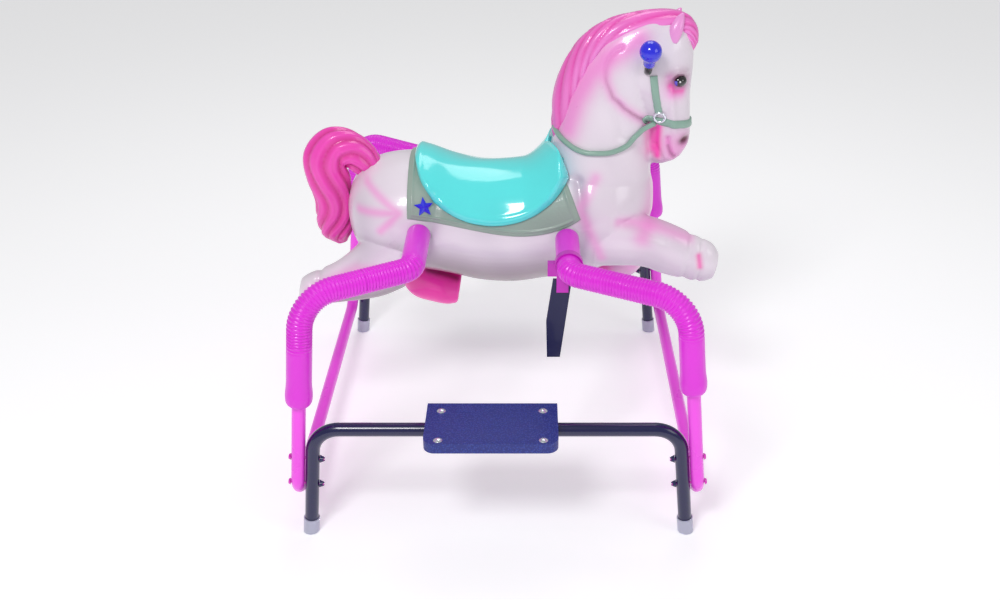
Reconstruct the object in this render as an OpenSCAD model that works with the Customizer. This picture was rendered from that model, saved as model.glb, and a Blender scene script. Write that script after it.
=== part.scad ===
// Spring rocking horse on a tubular stand. Units are mm, +X is forward and +Z is up.

/* [View] */
// sub-part to draw, or all of them

/* [Stand] */
// half the distance between front and rear feet
foot_x = 387; // [360:1:410]
// half the distance between the two side rails
foot_y = 420; // [400:1:450]
// height of the side rails' long run
rail_z = 250; // [235:1:265]
// diameter of every stand tube
tube_d = 28; // [24:0.5:29]
// inward lean of legs and posts, degrees
lean = 5.8; // [3:0.1:8]
// height of the end frames' cross run
cross_z = 88; // [80:1:100]
// length of a step plate along the rail
step_l = 260; // [220:1:290]
// width of a step plate across the rail
step_w = 141; // [130:1:160]

/* [Suspension] */
// distance of the front bar ahead of the stand's centre
front_x = 142; // [135:1:150]
// height of the front bar
front_z = 530; // [522:1:536]
// distance of the rear bar behind the stand's centre
rear_x = 165; // [158:1:170]
// height of the rear bar
rear_z = 540; // [534:1:548]
// radius of both bars
bar_r = 11; // [9:0.5:11]
// outer radius of a sleeve
sleeve_r = 25; // [24:0.5:26]
// height where a sleeve starts on its post
sleeve_z = 312; // [300:1:330]
// turns of one spring
spring_turns = 13; // [10:1:16]

/* [Horse] */
// wall of the moulded shell
wall = 3; // [2.5:0.1:4]
// radius of an eye
eye_r = 14; // [12:0.5:15]
// radius of a handle grip
grip_r = 22; // [20:0.5:27]

/* [Saddle and bridle] */
// radius of the saddle flap's lower edge
flap_r = 168; // [160:1:172]
// tip radius of the blanket star
star_r = 21; // [16:0.5:22]
// radius of the moulded rein
rein_r = 4.5; // [3.5:0.1:5]

/* [Hidden] */
$fn = 64;
x0 = -15;
tr = tube_d / 2;
gap = 0.4;
lap = 1.5;
thin = 0.15;
rail_bend = 55;
frame_bend = 52;
post_top = 440;
corner_bend = 72;
inner_bend = 42;
arm_y = 295;
sleeve_wall = 3;
sleeve_end_y = 137;
plug_l = 12;
bolt_z = [120, 181];
step_x = -10;
rest_y = 255;
step_top = rail_z + tr + 8;
step_y = foot_y + 10;
step_bolt_x = [step_x - 101, step_x + 101];
step_bolt_y = [foot_y - 33, foot_y + 68];

function leg_x(z) = foot_x - z * tan(lean);
function post_x(z) = leg_x(z) + tube_d + 1;
function unit(v) = v / norm(v);
function mix(a, b, t) = a + (b - a) * t;

// points on the centreline of one suspension arm, right-hand side, sgn -1 rear and +1 front
function arm_z(sgn) = sgn < 0 ? rear_z : front_z;
function arm_x(sgn) = sgn < 0 ? -rear_x : front_x;
function corner(sgn) = [sgn * post_x(arm_z(sgn)), -foot_y, arm_z(sgn) + 4];
function elbow(sgn) = [arm_x(sgn), -arm_y, arm_z(sgn)];
function post_pt(sgn, z) = [sgn * post_x(z), -foot_y, z];
function arm_mid(sgn) = mix(elbow(sgn), corner(sgn), 0.45);

// ---------- shared shapes ----------

module rod(a, b, r) {
  d = b - a;
  translate(a)
    rotate([0, acos(d[2] / norm(d)), atan2(d[1], d[0])])
      cylinder(r = r, h = norm(d));
}

// torus part that joins two straight runs at the corner b
module elbow_arc(a, b, c, bend, r) {
  u = unit(a - b);
  v = unit(c - b);
  turn = 180 - acos(u * v);
  n = unit(cross(v, u));
  mid = unit(u + v);
  centre = b + mid * (bend / cos(turn / 2));
  e1 = unit((b + u * bend * tan(turn / 2)) - centre);
  e2 = cross(n, e1);
  multmatrix([[e1[0], e2[0], n[0], centre[0]],
              [e1[1], e2[1], n[1], centre[1]],
              [e1[2], e2[2], n[2], centre[2]],
              [0, 0, 0, 1]])
    rotate_extrude(angle = turn, $fn = 96)
      translate([bend, 0])
        circle(r = r, $fn = 48);
}

function trim(a, b, c, bend) = bend * tan((180 - acos(unit(a - b) * unit(c - b))) / 2);

function bend_at(bend, i) = is_list(bend) ? bend[i - 1] : bend;

// round tube through the points; bend is one radius, or a list with one for each inner point
// the straight runs are a hair thinner and reach into the bends, so that every join is clean
module pipe(pts, bend, r, grow = 0) {
  last = len(pts) - 1;
  for (i = [0 : last - 1]) {
    d = unit(pts[i + 1] - pts[i]);
    s = i == 0 ? -grow : trim(pts[i - 1], pts[i], pts[i + 1], bend_at(bend, i)) - lap;
    e = i == last - 1 ? -grow : trim(pts[i], pts[i + 1], pts[i + 2], bend_at(bend, i + 1)) - lap;
    rod(pts[i] + d * s, pts[i + 1] - d * e, r - thin);
  }
  if (last > 1)
    for (i = [1 : last - 1])
      elbow_arc(pts[i - 1], pts[i], pts[i + 1], bend_at(bend, i), r);
}

module tube(pts, bend, r, w) {
  difference() {
    pipe(pts, bend, r);
    pipe(pts, bend, r - w, 1);
  }
}

module mirror_y() {
  children();
  mirror([0, 1, 0])
    children();
}

// closed skin through oval sections [x, y, z, tilt, half width across, half height in plane]
module skin(secs, grow = 0, n = 28) {
  m = len(secs);
  function ring_pt(s, a) =
    let (u = (s[5] + grow) * cos(a), w = (s[4] + grow) * sin(a))
    [s[0] - u * sin(s[3]), s[1] + w, s[2] + u * cos(s[3])];
  function axis(s) = [cos(s[3]), 0, sin(s[3])];
  first = [for (i = [0 : 2]) secs[0][i] - axis(secs[0])[i] * grow];
  final = [for (i = [0 : 2]) secs[m - 1][i] + axis(secs[m - 1])[i] * grow];
  a0 = [for (i = [0 : m - 1]) concat(
        i == 0 ? first : i == m - 1 ? final : [for (k = [0 : 2]) secs[i][k]],
        [secs[i][3], secs[i][4], secs[i][5]])];
  pts = [for (s = a0) for (k = [0 : n - 1]) ring_pt(s, k * 360 / n)];
  ends = [[for (i = [0 : 2]) a0[0][i]], [for (i = [0 : 2]) a0[m - 1][i]]];
  sides = [for (i = [0 : m - 2]) for (k = [0 : n - 1])
           let (a = i * n + k, b = i * n + (k + 1) % n)
           each [[a, b, a + n], [b, b + n, a + n]]];
  caps = [for (k = [0 : n - 1])
          each [[m * n, (k + 1) % n, k],
                [m * n + 1, (m - 1) * n + k, (m - 1) * n + (k + 1) % n]]];
  polyhedron(points = concat(pts, ends), faces = concat(sides, caps), convexity = 8);
}

// blow-moulded piece: the skin with an even hollow inside
module shell(secs) {
  difference() {
    skin(secs);
    skin(secs, -wall);
  }
}

module placed() {
  translate([x0, 0, 0])
    children();
}

// ---------- stand ----------

module rail_path(sgn) {
  tube([[-leg_x(4), sgn * foot_y, 4], [-leg_x(rail_z), sgn * foot_y, rail_z],
        [leg_x(rail_z), sgn * foot_y, rail_z], [leg_x(4), sgn * foot_y, 4]], rail_bend, tr, 1.6);
}

// clearance holes for the frame bolts, which run along X through post and leg
module bolt_holes(r) {
  for (sx = [-1, 1])
    for (sy = [-1, 1])
      for (z = bolt_z)
        translate([sx * leg_x(z), sy * foot_y, z])
          rotate([0, sx * (90 - lean), 0])
            translate([0, 0, -tr - 20])
              cylinder(r = r, h = 2 * tube_d + 42);
}

module rail_right() {
  color([0, 0, 0.37])
    placed()
      difference() {
        rail_path(-1);
        bolt_holes(3.3);
      }
}

module rail_left() {
  color([0, 0, 0.37])
    placed()
      difference() {
        rail_path(1);
        bolt_holes(3.3);
      }
}

module end_frame(sx) {
  difference() {
    tube([[sx * post_x(post_top), -foot_y, post_top], [sx * post_x(cross_z), -foot_y, cross_z],
          [sx * post_x(cross_z), foot_y, cross_z], [sx * post_x(post_top), foot_y, post_top]],
         frame_bend, tr, 1.6);
    bolt_holes(3.3);
  }
}

module frame_rear() {
  color([1, 0.35, 0.95])
    placed()
      end_frame(-1);
}

module frame_front() {
  color([1, 0.35, 0.95])
    placed()
      end_frame(1);
}

// clear plastic cup over each leg end, cut flat where it meets the floor
module foot_caps() {
  color([0.85, 0.85, 0.93])
    placed()
      for (sx = [-1, 1])
        mirror_y()
          difference() {
            translate([sx * leg_x(0), -foot_y, 0])
              rotate([0, -sx * lean, 0])
                translate([0, 0, -6])
                  cylinder(r = tr + 2.4, h = 40);
            translate([sx * leg_x(0), -foot_y, 0])
              rotate([0, -sx * lean, 0])
                translate([0, 0, 3.6])
                  cylinder(r = tr + 0.1, h = 60);
            translate([sx * leg_x(0), -foot_y, -30])
              cube([120, 120, 60], center = true);
          }
}

module plug(p, d, r) {
  rod(p - d * plug_l, p + d, r - 1.75);
  rod(p + d * 0.1, p + d * 3, r);
}

module post_plugs() {
  color([0.1, 0.1, 0.12])
    placed()
      for (sx = [-1, 1])
        mirror_y()
          plug([sx * post_x(post_top), -foot_y, post_top], unit([-sx * tan(lean), 0, 1]), tr);
}

module frame_bolts() {
  color([0.95, 0.3, 0.85])
    placed()
      for (sx = [-1, 1])
        for (sy = [-1, 1])
          for (z = bolt_z)
            translate([sx * leg_x(z), sy * foot_y, z])
              rotate([0, sx * (90 - lean), 0]) {
                translate([0, 0, -tr - 9])
                  cylinder(r = 3, h = 2 * tube_d + 11);
                translate([0, 0, tr + tube_d + 1.7])
                  cylinder(r1 = 7, r2 = 5, h = 4);
              }
}

module wing_nuts() {
  color([0, 0, 0.4])
    placed()
      for (sx = [-1, 1])
        for (sy = [-1, 1])
          for (z = bolt_z)
            translate([sx * leg_x(z), sy * foot_y, z])
              rotate([0, sx * (90 - lean), 0])
                translate([0, 0, -tr - 7.4])
                  difference() {
                    union() {
                      cylinder(r = 5.6, h = 7);
                      rotate([90, 0, 0])
                        linear_extrude(height = 3, center = true)
                          polygon([[-9, 7], [9, 7], [3, -3], [-3, -3]]);
                    }
                    translate([0, 0, -6])
                      cylinder(r = 3.1, h = 20);
                  }
}

module step_outline(grow = 0) {
  l = step_l / 2 + grow;
  w = step_w / 2 + grow;
  c = 22;
  translate([-l, -w + c])
    square([2 * l, 2 * w - c]);
  translate([-l + c, -w])
    square([2 * l - 2 * c, c + 1]);
  for (s = [-1, 1])
    translate([s * (l - c), -w + c])
      circle(r = c);
}

// pressed plate with a turned-down rim, one on each rail
module step_plates() {
  color([0.1, 0.16, 0.5])
    placed()
      mirror_y()
        translate([step_x, -step_y, 0])
          difference() {
            translate([0, 0, step_top - 22])
              linear_extrude(height = 22)
                step_outline();
            translate([0, 0, step_top - 30])
              linear_extrude(height = 27)
                step_outline(-2.5);
            translate([0, step_y - foot_y, rail_z])
              rotate([0, 90, 0])
                cylinder(r = tr + 0.5, h = 2 * step_l, center = true);
            translate([-step_l, step_y - foot_y - tr - 0.5, rail_z - 40])
              cube([2 * step_l, tube_d + 1, 40]);
            for (x = step_bolt_x)
              for (y = step_bolt_y)
                translate([x - step_x, step_y - y, step_top - 10])
                  cylinder(r = 3.3, h = 20);
          }
}

// block under the plate that grips the rail
module step_clamps() {
  color([0.05, 0.05, 0.08])
    placed()
      mirror_y()
        for (x = step_bolt_x)
          difference() {
            union() {
              translate([x - 12, -foot_y - 36, rail_z - tr - 6])
                cube([24, 79, step_top - 3.2 - rail_z + tr + 6]);
              translate([x - 12, -step_bolt_y[1] - 4, rail_z + 2])
                cube([24, 60, step_top - 3.2 - rail_z - 2]);
            }
            translate([x, -foot_y, rail_z])
              rotate([0, 90, 0])
                cylinder(r = tr + 0.1, h = 40, center = true);
            for (y = step_bolt_y)
              translate([x, -y, rail_z - 40])
                cylinder(r = 3.3, h = 80);
          }
}

module step_bolts() {
  color([0.9, 0.92, 0.95])
    placed()
      mirror_y()
        for (x = step_bolt_x)
          for (y = step_bolt_y)
            translate([x, -y, step_top + 0.2]) {
              translate([0, 0, -20])
                cylinder(r = 3, h = 20);
              intersection() {
                translate([0, 0, -9.5])
                  sphere(r = 13);
                cylinder(r = 9, h = 6);
              }
            }
}

// ---------- suspension ----------

// outer part of a sleeve, from the post over the corner
module sleeve_outer(sgn, to) {
  tube([post_pt(sgn, sleeve_z), corner(sgn), to], corner_bend, sleeve_r, sleeve_wall);
}

module sleeve_full(sgn) {
  c = corner(sgn);
  e = elbow(sgn);
  tube([post_pt(sgn, sleeve_z + 28), c, e, [e[0], -sleeve_end_y, e[2]]],
       [corner_bend, inner_bend], sleeve_r, sleeve_wall);
}

module sleeve_front_right() {
  color([0.94, 0.25, 0.92])
    placed()
      sleeve_full(1);
}

module sleeve_front_left() {
  color([0.94, 0.25, 0.92])
    placed()
      mirror([0, 1, 0])
        sleeve_full(1);
}

module sleeve_rear_right() {
  color([0.94, 0.25, 0.92])
    placed()
      sleeve_outer(-1, arm_mid(-1) + unit(corner(-1) - arm_mid(-1)) * gap);
}

module sleeve_rear_left() {
  color([0.94, 0.25, 0.92])
    placed()
      mirror([0, 1, 0])
        sleeve_outer(-1, arm_mid(-1) + unit(corner(-1) - arm_mid(-1)) * gap);
}

module sleeve_inner(sgn) {
  e = elbow(sgn);
  tube([arm_mid(sgn), e, [e[0], -sleeve_end_y, e[2]]], inner_bend, sleeve_r, sleeve_wall);
}

module sleeve_inner_right() {
  color([0.94, 0.25, 0.92])
    placed()
      sleeve_inner(-1);
}

module sleeve_inner_left() {
  color([0.94, 0.25, 0.92])
    placed()
      mirror([0, 1, 0])
        sleeve_inner(-1);
}

bar_arm = 78;
function bar_tip(sgn) = elbow(sgn) + unit(corner(sgn) - elbow(sgn)) * bar_arm;

// coil spring wound around the arm's centreline from the post's top to the bar's tip
module spring(sgn) {
  c = corner(sgn);
  lift = unit([-sgn * tan(lean), 0, 1]);
  a = post_pt(sgn, post_top) + lift * 5;
  b = bar_tip(sgn) + unit(c - bar_tip(sgn)) * 5;
  u = unit(a - c);
  v = unit(b - c);
  turn = 180 - acos(u * v);
  t = corner_bend * tan(turn / 2);
  n = unit(cross(v, u));
  centre = c + unit(u + v) * (corner_bend / cos(turn / 2));
  l1 = norm(a - c) - t;
  l2 = corner_bend * turn * PI / 180;
  l3 = norm(b - c) - t;
  total = l1 + l2 + l3;
  e1 = unit((c + u * t) - centre);
  e2 = -u;
  steps = spring_turns * 12;
  ring = 5;
  function at(s) = s < l1 ? a - u * s
    : s < l1 + l2 ? let (g = (s - l1) / corner_bend * 180 / PI)
        centre + corner_bend * (e1 * cos(g) + e2 * sin(g))
    : c + v * (t + (s - l1 - l2));
  function side(s) = s < l1 ? e1
    : s < l1 + l2 ? let (g = (s - l1) / corner_bend * 180 / PI) e1 * cos(g) + e2 * sin(g)
    : let (g = turn) e1 * cos(g) + e2 * sin(g);
  function coil(s, g) = side(s) * cos(g) + n * sin(g);
  pts = [for (i = [0 : steps]) let (s = total * i / steps, g = i * 30, q = coil(s, g),
          d = unit(at(min(s + 0.5, total)) - at(max(s - 0.5, 0))))
         for (k = [0 : ring - 1])
           at(s) + q * 15 + (q * cos(k * 360 / ring) + d * sin(k * 360 / ring)) * 2.2];
  sides = [for (i = [0 : steps - 1]) for (k = [0 : ring - 1])
           let (p = i * ring + k, q = i * ring + (k + 1) % ring)
           each [[p, p + ring, q], [q, p + ring, q + ring]]];
  caps = [[for (k = [0 : ring - 1]) k], [for (k = [ring - 1 : -1 : 0]) steps * ring + k]];
  polyhedron(points = pts, faces = concat(sides, caps), convexity = 10);
}

module springs_front() {
  color([0.6, 0.62, 0.65])
    placed()
      mirror_y()
        spring(1);
}

module springs_rear() {
  color([0.6, 0.62, 0.65])
    placed()
      mirror_y()
        spring(-1);
}

// cranked bar: straight through the horse, with both ends turned towards the posts
module bar(sgn) {
  e = elbow(sgn);
  p = bar_tip(sgn);
  tube([p, e, [e[0], -e[1], e[2]], [p[0], -p[1], p[2]]], inner_bend, bar_r, 2);
}

module bar_front() {
  color([0.15, 0.15, 0.18])
    placed()
      bar(1);
}

module bar_rear() {
  color([0.15, 0.15, 0.18])
    placed()
      bar(-1);
}

module bar_plugs_front() {
  color([0.1, 0.1, 0.12])
    placed()
      mirror_y()
        plug(bar_tip(1), unit(corner(1) - elbow(1)), bar_r - 0.4);
}

module bar_plugs_rear() {
  color([0.1, 0.1, 0.12])
    placed()
      mirror_y()
        plug(bar_tip(-1), unit(corner(-1) - elbow(-1)), bar_r - 0.4);
}

// flat paddle hung from a clamp around the front sleeve
// ring round each front sleeve with a bolt lug behind and a hanger below
module rest_clamps() {
  color([0.8, 0.15, 0.75])
    placed()
      mirror_y()
        translate([front_x, -rest_y, front_z])
          difference() {
            union() {
              rotate([90, 0, 0])
                cylinder(r = sleeve_r + 4, h = 16, center = true);
              translate([-42, -8, -22])
                cube([22, 16, 28]);
              translate([-24, -8, -58])
                cube([24, 3.6, 36]);
            }
            rotate([90, 0, 0])
              cylinder(r = sleeve_r + gap, h = 30, center = true);
          }
}

// flat foot paddle on each hanger, tapered to its lower end
module foot_rests() {
  color([0, 0, 0.38])
    placed()
      mirror_y()
        translate([front_x, -rest_y, front_z])
          rotate([90, 0, 0])
            linear_extrude(height = 8, center = true)
              polygon([[-31, -32], [-44, -127], [-42, -210], [-15, -210], [5, -45], [5, -32]]);
}

// flanged bush in each side of the shell; the front pair carries the rocking
module bushes() {
  color([0.85, 0.9, 0.87])
    placed()
      for (q = [[front_x, front_z], [-rear_x, rear_z]])
        mirror_y()
          translate([q[0], -100, q[1]])
            rotate([90, 0, 0])
              difference() {
                union() {
                  cylinder(r = 15, h = 36);
                  translate([0, 0, 30.5])
                    cylinder(r = 22, h = 5);
                }
                translate([0, 0, -1])
                  cylinder(r = bar_r - thin + 0.05, h = 60);
              }
}

// ---------- horse ----------

// sections run along X: [x, y, z, tilt, half width, half height]
TORSO = [[-324, 0, 548, 0, 22, 26], [-314, 0, 546, 0, 62, 62], [-292, 0, 544, 0, 93, 92],
         [-255, 0, 543, 0, 114, 114], [-205, 0, 542, 0, 124, 124], [-160, 0, 537, 0, 127, 128],
         [-100, 0, 521, 0, 126, 124], [-40, 0, 508, 0, 125, 125], [25, 0, 506, 0, 125, 128],
         [90, 0, 517, 0, 126, 130], [145, 0, 532, 0, 127, 138], [200, 0, 546, 0, 123, 140],
         [250, 0, 556, 0, 110, 130], [290, 0, 564, 0, 86, 106], [316, 0, 570, 0, 54, 72],
         [328, 0, 572, 0, 20, 30]];

// neck sections rise from the shoulders and curl over into the poll
NECK = [[218, 0, 560, 90, 100, 96], [214, 0, 620, 88, 98, 108], [214, 0, 680, 86, 88, 106],
        [222, 0, 740, 82, 76, 98], [236, 0, 800, 76, 65, 90], [256, 0, 852, 66, 57, 80],
        [284, 0, 898, 48, 50, 64], [318, 0, 926, 25, 42, 44], [346, 0, 936, 10, 28, 26]];

// head sections hang from the poll down to the muzzle
HEAD = [[344, 0, 958, -92, 18, 16], [338, 0, 940, -92, 36, 44], [326, 0, 905, -94, 50, 70],
        [318, 0, 865, -96, 57, 80], [318, 0, 828, -92, 59, 78], [330, 0, 790, -86, 55, 66],
        [345, 0, 752, -86, 47, 53], [350, 0, 718, -88, 42, 51], [352, 0, 690, -90, 39, 46],
        [346, 0, 666, -92, 34, 32], [336, 0, 650, -94, 18, 16]];

MANE = [[128, 0, 700, 100, 26, 14], [134, 0, 735, 95, 30, 22], [140, 0, 790, 84, 32, 27],
        [156, 0, 845, 72, 33, 29], [188, 0, 896, 52, 33, 29], [234, 0, 928, 30, 33, 29],
        [290, 0, 944, 10, 31, 27], [345, 0, 950, -8, 28, 24], [378, 0, 940, -45, 24, 22],
        [392, 0, 912, -80, 18, 14], [392, 0, 888, -95, 9, 6]];

TAIL = [[-252, 0, 632, 170, 24, 22], [-284, 0, 652, 150, 28, 34], [-312, 0, 676, 165, 32, 38],
        [-345, 0, 680, 205, 34, 46], [-368, 0, 650, 245, 35, 50], [-366, 0, 606, 268, 35, 46],
        [-360, 0, 562, 272, 33, 39], [-361, 0, 520, 268, 31, 39], [-358, 0, 484, 275, 25, 32],
        [-348, 0, 462, 285, 12, 14]];

FORE_NEAR = [[205, -72, 500, 0, 46, 58], [262, -80, 504, -4, 45, 58], [315, -86, 500, -10, 42, 56],
             [362, -90, 484, -14, 38, 55], [405, -92, 468, -14, 34, 50], [440, -93, 456, -14, 32, 45],
             [462, -93, 448, -10, 22, 30]];

FORE_FAR = [[205, 70, 500, -30, 46, 58], [250, 80, 462, -50, 43, 52], [282, 86, 418, -70, 38, 44],
            [292, 88, 384, -100, 35, 38], [276, 88, 360, -150, 33, 32], [242, 86, 352, -176, 31, 28],
            [212, 84, 352, -180, 24, 22]];

HIND_NEAR = [[-205, -66, 470, 180, 52, 82], [-255, -74, 448, 184, 50, 78], [-300, -82, 424, 190, 44, 60],
             [-345, -88, 408, 186, 38, 46], [-385, -90, 398, 180, 34, 40], [-418, -91, 392, 172, 30, 34],
             [-432, -91, 392, 170, 20, 24]];

HIND_FAR = [[-205, 64, 462, -60, 52, 66], [-190, 66, 410, -70, 46, 56], [-172, 54, 374, -55, 38, 42],
            [-148, 34, 352, -30, 33, 36], [-118, 20, 342, -15, 30, 33], [-96, 14, 340, -10, 22, 24]];

module bar_bores(r) {
  for (q = [[front_x, front_z], [-rear_x, rear_z]])
    translate([q[0], 0, q[1]])
      rotate([90, 0, 0])
        cylinder(r = r, h = 400, center = true);
}

module torso() {
  color([0.9, 0.84, 0.9])
    placed()
      difference() {
        shell(TORSO);
        bar_bores(15.2);
      }
}

module neck_head() {
  color([0.9, 0.84, 0.9])
    placed() {
      shell(NECK);
      shell(HEAD);
    }
}

module ears() {
  color([0.95, 0.55, 0.85])
    placed()
      mirror_y()
        skin([[350, -30, 920, 80, 13, 15], [357, -29, 941, 78, 11, 14],
              [364, -24, 962, 74, 7, 8], [369, -20, 971, 74, 2, 2]], 0, 16);
}

module mane() {
  color([1, 0.3, 0.8])
    placed()
      shell(MANE);
}

module tail() {
  color([1, 0.25, 0.8])
    placed()
      shell(TAIL);
}

module foreleg_right() {
  color([0.9, 0.84, 0.9])
    placed()
      shell(FORE_NEAR);
}

module foreleg_left() {
  color([0.9, 0.84, 0.9])
    placed()
      shell(FORE_FAR);
}

module hindleg_right() {
  color([0.9, 0.84, 0.9])
    placed()
      shell(HIND_NEAR);
}

module hindleg_left() {
  color([0.9, 0.84, 0.9])
    placed()
      shell(HIND_FAR);
}

// ---------- saddle, blanket and bridle ----------

// the flap is bounded by a drum, so its lower edge hangs in one round sweep
module saddle() {
  color([0.45, 0.96, 0.94])
    placed()
      difference() {
        intersection() {
          skin(TORSO, 17);
          translate([-15, 0, 732])
            rotate([90, 0, 0])
              cylinder(r = flap_r, h = 400, center = true);
        }
        skin(TORSO, 5.5);
      }
}

module blanket() {
  color([0.55, 0.63, 0.59])
    placed()
      difference() {
        intersection() {
          skin(TORSO, 5);
          rotate([90, 0, 0])
            linear_extrude(height = 400, center = true)
              polygon([[-186, 760], [-190, 574], [-110, 566], [-40, 548], [20, 542],
                       [80, 549], [160, 577], [128, 660], [112, 760]]);
        }
        skin(TORSO, 0.5);
      }
}

module star_plate() {
  rotate([90, 0, 0])
    linear_extrude(height = 3)
      polygon([for (i = [0 : 9]) let (r = i % 2 == 0 ? star_r : star_r * 0.42, a = 90 + i * 36)
               [r * cos(a), r * sin(a)]]);
}

module stars() {
  color([0.15, 0.15, 0.9])
    placed()
      mirror_y()
        translate([-148, -122, 606])
          rotate([-27, 0, 0])
            star_plate();
}

module eyes() {
  color([0.03, 0.03, 0.05])
    placed()
      mirror_y()
        translate([366, -36, 842])
          sphere(r = eye_r);
}

// straps lie on the head as a raised band
module bridle() {
  color([0.5, 0.66, 0.6])
    placed()
      difference() {
        skin(HEAD, 3.5);
        skin(HEAD, 0.5);
        translate([0, 0, 1068])
          cube([1200, 400, 400], center = true);
        translate([0, 0, 549])
          cube([1200, 400, 400], center = true);
        translate([-290, 0, 817])
          cube([1200, 400, 102], center = true);
        translate([924, 0, 817])
          cube([1200, 400, 102], center = true);
      }
}

module bridle_rings() {
  color([0.75, 0.77, 0.8])
    placed()
      mirror_y()
        translate([326, -56, 757])
          rotate([90, 0, 0])
            rotate_extrude()
              translate([12, 0])
                circle(r = 3, $fn = 24);
}

// the right half of the rein, from ring to withers; the left half is its mirror image
rein_half = [[316, -58, 745], [292, -68, 730], [262, -82, 714], [232, -92, 706], [202, -95, 705],
             [172, -92, 712], [146, -78, 724], [128, -56, 736], [117, -30, 745], [114, 0, 748]];
rein_pts = concat(rein_half, [for (i = [len(rein_half) - 2 : -1 : 0])
                              [rein_half[i][0], -rein_half[i][1], rein_half[i][2]]]);

module rein() {
  color([0.6, 0.7, 0.66])
    placed() {
      for (i = [0 : len(rein_pts) - 2])
        rod(rein_pts[i], rein_pts[i + 1], rein_r - 0.1);
      for (p = rein_pts)
        translate(p)
          sphere(r = rein_r, $fn = 24);
    }
}

module handle_rod() {
  color([0.04, 0.04, 0.06])
    placed()
      pipe([[300, -94, 906], [300, -66, 863], [300, 66, 863], [300, 94, 906]], 26, 8);
}

module handle_grips() {
  color([0.1, 0.12, 0.85])
    placed()
      mirror_y()
        difference() {
          union() {
            rod([300, -80, 884.5], [300, -94, 906], 12);
            translate([300, -100, 915])
              sphere(r = grip_r);
          }
          rod([300, -66, 863], [300, -94.2, 906.3], 8.1);
        }
}

rail_right();
rail_left();
frame_rear();
frame_front();
foot_caps();
post_plugs();
frame_bolts();
wing_nuts();
step_plates();
step_clamps();
step_bolts();
sleeve_front_right();
sleeve_front_left();
sleeve_rear_right();
sleeve_rear_left();
sleeve_inner_right();
sleeve_inner_left();
springs_front();
springs_rear();
bar_front();
bar_rear();
bar_plugs_front();
bar_plugs_rear();
rest_clamps();
foot_rests();
bushes();
torso();
neck_head();
ears();
mane();
tail();
foreleg_right();
foreleg_left();
hindleg_right();
hindleg_left();
saddle();
blanket();
stars();
eyes();
bridle();
bridle_rings();
rein();
handle_rod();
handle_grips();
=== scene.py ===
import bpy, bmesh, math
import numpy as np
from mathutils import Matrix, Vector
from mathutils.bvhtree import BVHTree


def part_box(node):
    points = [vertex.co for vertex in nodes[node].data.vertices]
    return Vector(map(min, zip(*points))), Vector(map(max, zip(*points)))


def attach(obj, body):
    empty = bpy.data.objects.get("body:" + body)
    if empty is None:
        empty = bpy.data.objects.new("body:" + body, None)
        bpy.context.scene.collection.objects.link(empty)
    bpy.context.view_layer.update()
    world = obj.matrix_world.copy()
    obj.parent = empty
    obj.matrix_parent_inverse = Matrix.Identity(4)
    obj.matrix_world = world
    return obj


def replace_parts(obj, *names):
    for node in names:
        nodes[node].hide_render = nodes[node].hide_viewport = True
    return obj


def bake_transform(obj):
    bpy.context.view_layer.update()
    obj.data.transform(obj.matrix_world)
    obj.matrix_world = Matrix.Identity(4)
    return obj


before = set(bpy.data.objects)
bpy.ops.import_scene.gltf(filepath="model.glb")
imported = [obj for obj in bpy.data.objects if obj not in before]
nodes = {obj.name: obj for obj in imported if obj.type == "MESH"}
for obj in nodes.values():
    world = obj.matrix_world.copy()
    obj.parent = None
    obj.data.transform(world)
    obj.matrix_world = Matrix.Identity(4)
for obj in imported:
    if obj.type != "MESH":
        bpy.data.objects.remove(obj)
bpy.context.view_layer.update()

# ---- Foot caps -------------------------------------------------------------------------------
# Clear vinyl cups pushed over the four leg ends. They are injection moulded, a little cloudy,
# and cut flat underneath where they stand on the floor.


def lin(c):
    return tuple(((v + 0.055) / 1.055) ** 2.4 if v > 0.04045 else v / 12.92 for v in c) + (1,)


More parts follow.
